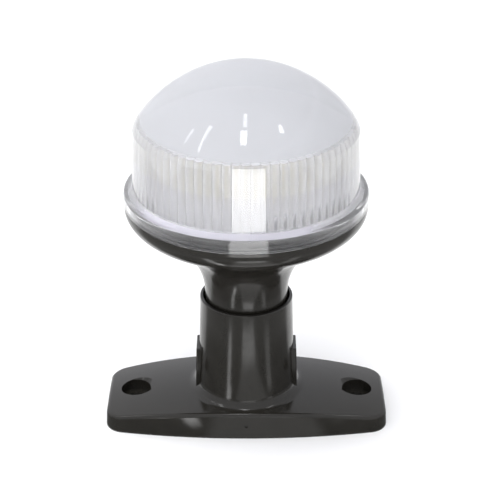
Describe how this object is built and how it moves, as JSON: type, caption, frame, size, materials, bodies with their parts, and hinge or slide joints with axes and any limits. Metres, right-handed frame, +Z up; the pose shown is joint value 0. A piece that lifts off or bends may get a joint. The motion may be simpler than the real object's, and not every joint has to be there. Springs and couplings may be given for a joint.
{
  "type": "navigation light",
  "caption": "Fixed-mount all-round boat light: two-hole base with post, goblet housing, fluted clear screw-on lens over an LED tower.",
  "frame": {"origin": "centre of the base's underside, on the axis of the post", "axes": "+Z up the light's axis towards the dome, X through the two screw holes, -Y the front"},
  "size_m": [0.0876, 0.0726, 0.1148],
  "materials": {
    "black_plastic": "glossy moulded charcoal black",
    "clear_plastic": "clear moulded, polished",
    "black_rubber": "satin",
    "white_plastic": "satin white",
    "steel": "plain stainless",
    "board_green": "green solder mask",
    "can_aluminium": "drawn can",
    "component_black": "moulded epoxy",
    "grey_silicone": "soft matte",
    "core_aluminium": "machined",
    "white_panel": "white panel lacquer",
    "yellow_phosphor": "soft silicone with phosphor",
    "red_insulation": "satin",
    "black_insulation": "satin",
    "blue_nylon": "satin nylon",
    "solder": "bright solder"
  },
  "bodies": {
    "housing": {"mounting_base": "black_plastic", "lamp_housing": "black_plastic", "stem_seal": "black_rubber", "cable_grommet": "black_rubber", "reflector_plate": "white_plastic", "reflector_screws": "steel", "driver_board": "board_green", "board_screws": "steel", "smoothing_capacitor": "can_aluminium", "power_inductor": "component_black", "driver_chip": "component_black", "polarity_diodes": "component_black", "surge_suppressor": "component_black", "chip_resistors": "component_black", "thermal_pad": "grey_silicone", "tower_core": "core_aluminium", "led_panels": "white_panel", "led_phosphors": "yellow_phosphor", "tower_cap": "white_plastic", "tower_screw": "steel", "positive_lead": "red_insulation", "negative_lead": "black_insulation", "butt_connectors": "blue_nylon", "solder_tails": "solder"},
    "seal_ring": {"lens_seal": "black_rubber"},
    "lens_cap": {"lens": "clear_plastic"}
  },
  "joints": [
    {"name": "lens_turn", "type": "hinge", "parent": "housing", "child": "seal_ring", "pos_m": [0, 0, 0.07334], "axis": [0, 0, 1], "range_deg": [0, 120]},
    {"name": "lens_lift", "type": "slide", "parent": "seal_ring", "child": "lens_cap", "axis": [0, 0, 1], "range_m": [0, 0.004]}
  ],
  "couplings": [
    {"joint": "lens_lift", "follows": "lens_turn", "m_per_rad": 0.0019098}
  ]
}
